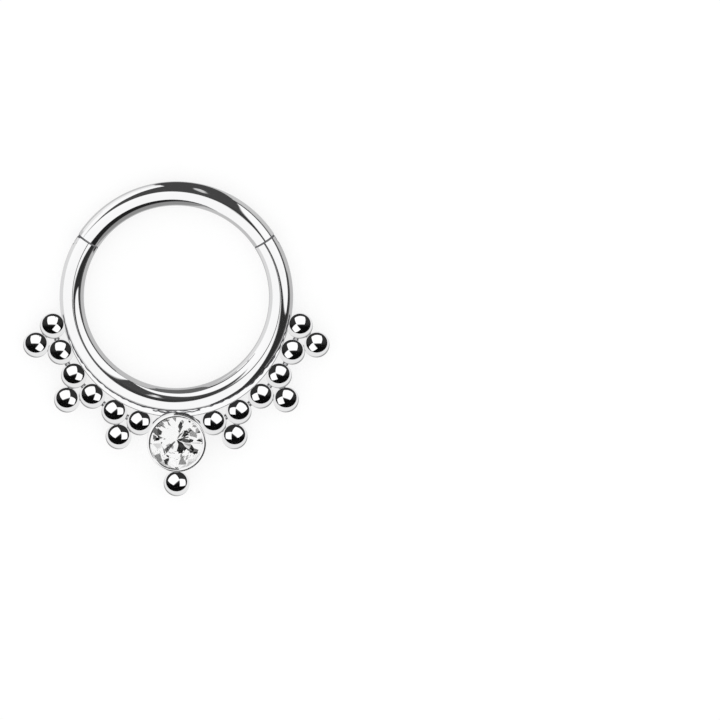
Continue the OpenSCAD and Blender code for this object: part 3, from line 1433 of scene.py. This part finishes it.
    def bead_cards(self, bead: Piece, place: BeadPlace, bead_r: float, cards: Sequence[Card]) -> None:
        """Stands the softboxes that one bead reflects, turned with the bead's cluster.

        Args:
            bead: the bead.
            place: where it sits.
            bead_r: its radius.
            cards: the cards that stand round it.
        """
        turn = Matrix.Rotation(math.radians(place.turn), 3, self.tilted(self.card_axis))
        mirror = -1.0 if place.side is Side.RIGHT else 1.0
        group = light_group("lit_" + bead.name, [bead])
        middle = self.plan.place @ Vector((place.x, place.y, bead_r))
        for card in cards:
            near, far = (turn @ self.world_vector(p) * self.card_distance for p in (card.near, card.far))
            near.x, far.x = mirror * near.x, mirror * far.x
            mid = (near + far) / 2
            along = (far - near).normalized()
            back = mid - mid.dot(along) * along
            size = (card.width * self.card_distance, (far - near).length)
            name = f"{card.name}_{bead.name}"
            data = self.softbox(name, middle + mid, along, back, size, card.level, group)
            bright = Patch(rectangle((-2.0, card.fade - 1), (2.0, 2.0)), 1.0, 2 * card.fade)
            self.paint(data, WallPaint(0.0, (bright,)))
        below = -self.tilted(self.table_axis)
        width = 2 * self.table_distance * math.tan(math.radians(180 - self.table_edge))
        table = self.softbox("table_" + bead.name, middle + self.table_distance * below,
                             Vector((1.0, 0.0, 0.0)), below, (width, 0.0), self.table_level, group)
        spot_at = (self.spot[0], -mirror * self.spot[1])
        spot = round_patch(spot_at, self.spot_size, self.spot_level, self.spot_fade)
        self.paint(table, WallPaint(1.0, (spot,)))


# Painted reflections: darker areas on the stone's foil where its facets show dark, in millimetres about the
# stone's middle.
PAINTED_FOIL_REFLECTIONS = (
    Patch(((-0.1, -0.06), (-0.66, -0.42), (-0.56, -0.66), (-0.06, -0.1)), 0.12, SHARP),
    Patch(((-0.83, -0.55), (-1.22, -0.72), (-0.91, -1.07), (-0.74, -1.0)), 0.3, SHARP),
    Patch(((-0.43, -0.83), (-0.65, -0.95), (-0.59, -1.17), (-0.48, -1.22), (-0.36, -0.88)), 0.05, SHARP),
    Patch(((0.24, -0.62), (0.1, -1.19), (0.5, -1.15)), 0.3, SHARP),
    Patch(((0.67, -0.35), (0.93, -0.65), (1.14, -0.41)), 0.15, SHARP),
    Patch(rectangle((-0.72, 1.09), (-0.38, 1.24)), 0.35, SHARP),
    Patch(((-1.19, 1.0), (-1.0, 0.81), (-0.83, 0.79), (-0.72, 0.93)), 0.4, SHARP),
    Patch(((0.64, 0.25), (1.03, 0.22), (1.02, 0.42), (0.67, 0.7), (0.52, 0.6)), 0.35, SHARP),
)
# Dark areas of the surroundings that only the crystal sees. The first place and the third to the sixth were
# found by a search program that matched dark discs to the photo, and then moved by 0.02 at most.
GEM_SHADES = (
    round_patch((-0.27, -0.27), 0.155, 0.1),
    round_patch((-0.45, -0.29), 0.1, 0.03),
    round_patch((-0.2, -0.18), 0.08, 0.03),
    round_patch((-0.23, 0.24), 0.155, 0.02),
    round_patch((-0.15, 0.42), 0.15, 0.03),
    round_patch((-0.4, 0.18), 0.15, 0.05),
    round_patch((-0.42, 0.03), 0.08, 0.03),
    round_patch((0.2, 0.04), 0.07, 0.05),
)
# Levels that repeat on the softboxes, and a coordinate past every wall's edge.
CHARCOAL, BLACK, PALE, GREY = 0.03, 0.012, 0.5, 0.28
FAR = 6.0
# The outlines in the rooms for the wire are fitted to where the photo's bright and dark bands lie on it.
# The swinging arc's room stands ten times as far away, so its reflections depend on direction alone.
SWING_ROOM = SoftRoom("swing_room", 400.0, {
    Wall.CEILING: WallPaint(CHARCOAL, (
        Patch(((0.1, -0.25), (0.0, -FAR), (FAR, -FAR), (FAR, -0.6)), BLACK),
        Patch(((-FAR, -9.0), (-2.5, -9.0), (-1.3, -5.6), (0.28, -1.1), (0.38, -0.64), (0.07, -0.25),
               (-FAR, -0.2))),
        Patch(((-FAR, -1.0), (-0.05, -0.38), (0.07, -0.25), (0.13, -0.1), (0.12, 0.05), (0.06, 0.22),
               (-0.08, 0.4), (-0.26, 0.48), (-0.62, 0.53), (-FAR, 1.1))),
        Patch(((-FAR, 0.2), (-1.2, 0.78), (-1.02, 2.2), (-0.72, 5.6), (-0.72, 9.0), (-FAR, 9.0))),
        Patch(((0.27, -0.14), (3.4, 0.5), (3.5, 3.4), (3.4, 4.4), (0.58, 0.45), (0.36, 0.07))),
        Patch(((0.25, 0.72), (0.3, 0.72), (0.5, 1.45), (0.62, 2.35), (0.45, 2.35), (0.28, 1.4)), 0.6))),
    Wall.TABLE: WallPaint(0.55, (
        Patch(((-1.5, -FAR), (FAR, -FAR), (FAR, -4.5), (0.6, -0.7), (-0.1, -0.9)), GREY),
        Patch(((-0.35, 1.7), (-1.2, 5.7), (-FAR, 5.7), (-FAR, 3.5), (-1.6, 1.0)), 0.85),
        Patch(((-0.15, 0.75), (0.2, 0.78), (3.5, 5.7), (-0.9, 5.7), (-0.34, 1.6)), CHARCOAL))),
    Wall.TOP: WallPaint(CHARCOAL, (
        Patch(rectangle((3.6, -1.0), (FAR, -0.1)), PALE),
        Patch(((-0.7, 1.0), (-FAR, 1.0), (-FAR, -1.0), (-0.9, -1.0))))),
    Wall.BOTTOM: WallPaint(GREY, (
        Patch(rectangle((-2.5, 0.55), (FAR, 1.0)), 0.1),
        Patch(((-1.4, 1.0), (-FAR, 1.0), (-FAR, -1.0), (-2.3, -1.0))))),
    Wall.LEFT: WallPaint(1.0, (Patch(rectangle((-FAR, -1.0), (FAR, -0.2)), 0.75),)),
    Wall.RIGHT: WallPaint(0.09, (Patch(rectangle((-FAR, -1.0), (FAR, 0.0)), PALE),)),
})
FIXED_ROOM = SoftRoom("fixed_room", 40.0, {
    Wall.CEILING: WallPaint(CHARCOAL, (
        Patch(((0.1, -0.2), (0.5, -FAR), (FAR, -FAR), (FAR, -1.8)), 0.025),
        Patch(((-FAR, -9.5), (5.2, -9.5), (0.75, -0.96), (0.47, -0.56), (0.3, -0.4), (0.05, -0.3),
               (-FAR, -0.2))),
        Patch(((-FAR, -1.0), (0.0, -0.42), (0.0, -0.33), (-0.045, -0.24), (-0.115, -0.14), (-0.165, -0.085),
               (-0.3, 0.02), (-0.6, 0.24), (-FAR, 3.0))),
        Patch(((-FAR, 0.15), (-0.27, 0.13), (-0.17, 0.22), (0.0, 0.56), (0.0, 1.84), (-0.9, 1.85),
               (-FAR, 3.0))),
        Patch(((-0.3, 0.56), (0.0, 0.56), (0.26, 0.84), (2.6, 4.2), (1.4, 3.3), (-0.3, 1.8))),
        Patch(((0.15, -0.2), (1.0, -0.5), (1.95, -0.78), (2.6, -0.5), (3.3, 0.2), (3.4, 1.5), (3.2, 4.5))),
        Patch(rectangle((-FAR, 3.1), (-2.3, FAR)), PALE),
        Patch(((-0.9, 1.9), (-0.25, 1.85), (1.4, 3.4), (2.2, FAR), (-2.4, FAR)), 0.1),
        Patch(((-0.07, -0.44), (-0.015, -0.55), (0.03, -0.42), (0.02, -0.27), (-0.08, -0.25)),
              CHARCOAL, SHARP),
        Patch(((0.05, -0.01), (0.09, -0.01), (0.165, 0.34), (0.125, 0.34)), 0.85, SHARP))),
    Wall.TABLE: WallPaint(PALE, (
        Patch(((-FAR, -FAR), (-3.0, -FAR), (-0.5, 0.0), (-3.0, FAR), (-FAR, FAR)), 0.72),
        Patch(((0.25, -0.9), (1.6, -5.8), (FAR, -5.8), (FAR, -4.6), (1.2, -0.8)), CHARCOAL),
        Patch(((0.2, 1.8), (0.7, 2.7), (1.5, 5.8), (-2.0, 5.8), (-1.3, 3.8), (-0.5, 1.9)), 0.1))),
    Wall.TOP: WallPaint(PALE, (Patch(((-2.0, -1.0), (1.5, -1.0), (2.1, 1.0), (-2.4, 1.0)), 0.1),)),
    Wall.BOTTOM: WallPaint(1.0, (
        Patch(((1.6, -1.0), (FAR, -1.0), (FAR, 1.0), (3.1, 1.0), (2.1, 0.0)), CHARCOAL),)),
    Wall.LEFT: WallPaint(1.0, (Patch(rectangle((-FAR, -1.0), (FAR, -0.2)), 0.72),)),
    Wall.RIGHT: WallPaint(PALE, (
        Patch(((-FAR, -0.5), (0.5, -0.5), (0.8, 1.0), (-FAR, 1.0)), 0.06),
        Patch(rectangle((0.5, -0.1), (FAR, 1.0)), 0.06))),
})
CUP_ROOM = SoftRoom("cup_room", 40.0, {
    Wall.CEILING: WallPaint(1.0, (
        Patch(((-0.1, 0.4), (0.42, 0.15), (FAR, 4.0), (FAR, FAR), (-0.7, FAR)), CHARCOAL),
        Patch(((-1.4, -FAR), (FAR, -FAR), (FAR, -0.8), (0.65, -0.1), (-0.27, -0.8)), CHARCOAL))),
    Wall.TABLE: WallPaint(0.85, (
        Patch(((-0.02, 0.1), (FAR, 0.1), (FAR, FAR), (-0.6, FAR)), CHARCOAL),
        Patch(((-0.5, -FAR), (FAR, -FAR), (FAR, -0.5), (0.9, -0.3), (0.2, -0.9)), CHARCOAL))),
    Wall.LEFT: WallPaint(1.0),
    Wall.RIGHT: WallPaint(PALE, (Patch(rectangle((-FAR, 0.0), (-1.0, 1.0)), CHARCOAL),)),
    Wall.TOP: WallPaint(1.0, (Patch(rectangle((-0.7, -0.2), (FAR, 1.0)), CHARCOAL),)),
    Wall.BOTTOM: WallPaint(1.0, (Patch(rectangle((-1.4, -0.2), (FAR, 1.0)), CHARCOAL),)),
})
STRIP_WALL = WallPaint(PALE, (Patch(rectangle((-FAR, 0.0), (FAR, 1.0)), CHARCOAL),))
STRIP_ROOM = SoftRoom("strip_room", 40.0, {
    Wall.CEILING: WallPaint(CHARCOAL, (
        Patch(((-1.4, -0.8), (-0.6, -1.6), (0.6, -1.6), (1.4, -0.8), (1.4, 0.3), (0.6, 1.1),
               (-0.6, 1.1), (-1.4, 0.3)), 1.03),)),
    Wall.TABLE: WallPaint(PALE),
    Wall.TOP: STRIP_WALL,
    Wall.BOTTOM: STRIP_WALL,
    Wall.LEFT: STRIP_WALL,
    Wall.RIGHT: STRIP_WALL,
})
BEAD_CARDS = (
    Card("tall_card", (-0.11, 0.14, 0.964), (0.036, 1.0, -0.1), 1.25, 1.1, 0.12),
    Card("short_card", (0.236, -0.131, 0.963), (1.404, -1.063, 0.41), 1.2, 1.1, 0.04),
)


def main() -> None:
    """Builds the ring's sub-assemblies in order, then the studio."""
    logging.basicConfig(level=logging.INFO, format="%(name)s %(message)s")
    plan = RingPlan(wire_top=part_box("hinged_segment")[1].y / MM)
    steel = SteelFinish("polished_steel_wire").material()
    # Sawn steel for cut faces, darkened far below steel so the seams' gaps show painted shade.
    sawn_with_painted_shade = SteelFinish("sawn_steel", tint=(0.15, 0.15, 0.16), polish=(0.3, 0.45)).material()
    bead_steel = SteelFinish("polished_steel_beads").material()
    solder = SteelFinish("solder_silver", tint=(0.45, 0.45, 0.46), polish=(0.05, 0.14), hairline_depth=0.05)
    # The solder seams' dark tint is painted shade: it stands for the contact shadow where the strip meets
    # the wire and the cup.
    seam = SteelFinish("solder_seam", tint=(0.13, 0.13, 0.14), polish=(0.2, 0.35), hairline_depth=0.05)
    foil = SteelFinish("mirror_foil", tint=(0.97, 0.97, 0.97)).material()
    pin_steel = SteelFinish("drawn_pin_steel", tint=(0.7, 0.71, 0.73), polish=(0.15, 0.3)).material()
    low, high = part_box("stone")
    crystal = CrystalFinish(middle_y=(low.y + high.y) / 2 / MM, shades=PAINTED_FOIL_REFLECTIONS).material()

    pin = recoat("hinge_pin", pin_steel)
    recoat("stone", crystal)
    fixed_arc, swing_arc = WireHoop(plan, steel, sawn_with_painted_shade).build()
    setting = StoneSetting(plan, steel, foil)
    cup = setting.build()
    edging = BeadEdging(plan, bead_steel, solder.material(), seam.material())
    (strip, joints, seams, *beads), places = edging.build(setting.y, setting.outer_r)

    studio = Studio(plan, light_group("softbox_blockers", [pin]))
    studio.camera()
    studio.world(GEM_SHADES)
    studio.floor()
    studio.build_room(SWING_ROOM, swing_arc)
    studio.build_room(FIXED_ROOM, fixed_arc, seams)
    studio.build_room(CUP_ROOM, cup)
    studio.build_room(STRIP_ROOM, strip, joints)
    for bead, place in zip(beads, places):
        studio.bead_cards(bead, place, edging.bead_r, BEAD_CARDS)
    bpy.context.scene.view_settings.view_transform = "Standard"


if __name__ == "__main__":
    main()
